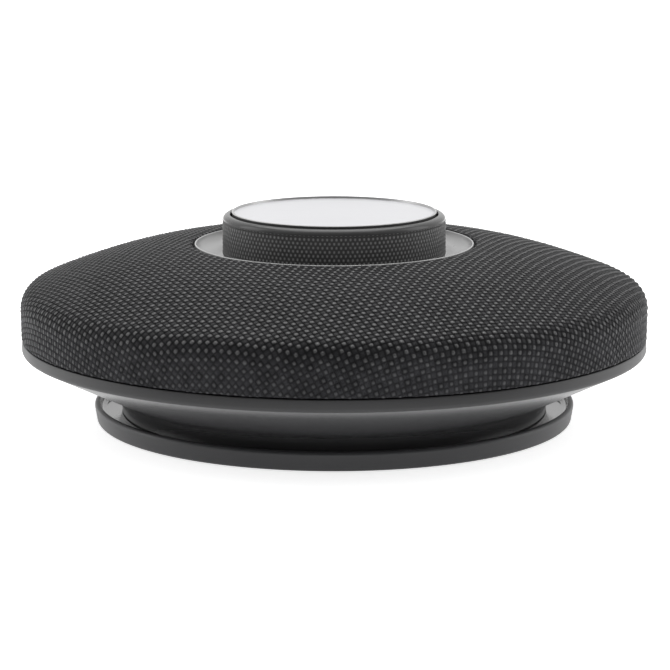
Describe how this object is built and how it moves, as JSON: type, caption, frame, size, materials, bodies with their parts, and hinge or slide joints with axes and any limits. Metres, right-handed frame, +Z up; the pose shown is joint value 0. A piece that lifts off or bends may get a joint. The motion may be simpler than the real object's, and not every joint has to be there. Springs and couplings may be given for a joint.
{
  "type": "portable bluetooth speaker",
  "caption": "Round fabric-covered portable loudspeaker on a dished foot, with a turning volume dial and a press plate on top.",
  "frame": {"origin": "middle of the surface that the rubber foot pad stands on", "axes": "+Z up along the dial's axis; the sockets and the two small buttons face +Y, at the back"},
  "size_m": [0.18, 0.18, 0.0606],
  "materials": {
    "fabric": "woven, dark grey",
    "satin_black": "satin",
    "gloss_black": "gloss",
    "inner_black": "moulded, matt",
    "silver_trim": "satin silver",
    "plate": "fine satin",
    "rubber": "matt",
    "steel": "plated",
    "magnet": "dull",
    "paper": "pressed fibre",
    "board": "circuit board",
    "cell": "shrink sleeve",
    "bearing": "acetal",
    "lamp": "frosted",
    "flex": "film"
  },
  "bodies": {
    "housing": {"foot_pad": "rubber", "foot_base": "satin_black", "lower_casing": "gloss_black", "casing_gasket": "rubber", "driver_chassis": "inner_black", "grille_shell": "inner_black", "fabric_cover": "fabric", "recess_dish": "silver_trim", "dial_bearing": "bearing", "encoder_board": "board", "hall_sensor": "inner_black", "button_post": "inner_black", "return_spring": "steel", "switch_board": "board", "dome_switch": "steel", "battery_holder": "inner_black", "battery_strap": "steel", "battery_cell_front": "cell", "battery_cell_rear": "cell", "main_board": "board", "shield_can": "steel", "bluetooth_module": "steel", "dial_flex_cable": "flex", "rear_panel": "satin_black", "port_board": "board", "usb_socket": "steel", "status_light_pipe": "lamp", "power_switch": "inner_black", "pairing_switch": "inner_black", "foot_screw_1": "steel", "chassis_screw_1": "steel", "foot_screw_2": "steel", "chassis_screw_2": "steel", "foot_screw_3": "steel", "chassis_screw_3": "steel", "foot_screw_4": "steel", "chassis_screw_4": "steel", "driver_left_basket": "inner_black", "driver_left_magnet": "magnet", "driver_left_cone": "paper", "driver_left_surround": "rubber", "driver_right_basket": "inner_black", "driver_right_magnet": "magnet", "driver_right_cone": "paper", "driver_right_surround": "rubber", "radiator_front_frame": "inner_black", "radiator_front_surround": "rubber", "radiator_front_weight": "steel", "radiator_rear_frame": "inner_black", "radiator_rear_surround": "rubber", "radiator_rear_weight": "steel"},
    "volume_dial": {"volume_knob": "satin_black", "magnet_ring": "magnet"},
    "press_plate": {"top_plate": "plate", "press_carrier": "inner_black"},
    "power_key": {"power_button": "rubber"},
    "pairing_key": {"pairing_button": "rubber"}
  },
  "joints": [
    {"name": "dial_turn", "type": "hinge", "parent": "housing", "child": "volume_dial", "pos_m": [0, 0, 0.05], "axis": [0, 0, 1], "continuous": true},
    {"name": "plate_press", "type": "slide", "parent": "housing", "child": "press_plate", "axis": [0, 0, -1], "range_m": [0, 0.0008], "stiffness_N_per_m": 1500, "springref_m": -0.0008, "deforming": ["return_spring"]},
    {"name": "power_press", "type": "slide", "parent": "housing", "child": "power_key", "axis": [0, -1, 0], "range_m": [0, 0.0006], "stiffness_N_per_m": 1000, "springref_m": -0.0004},
    {"name": "pairing_press", "type": "slide", "parent": "housing", "child": "pairing_key", "axis": [0, -1, 0], "range_m": [0, 0.0006], "stiffness_N_per_m": 1000, "springref_m": -0.0004}
  ]
}
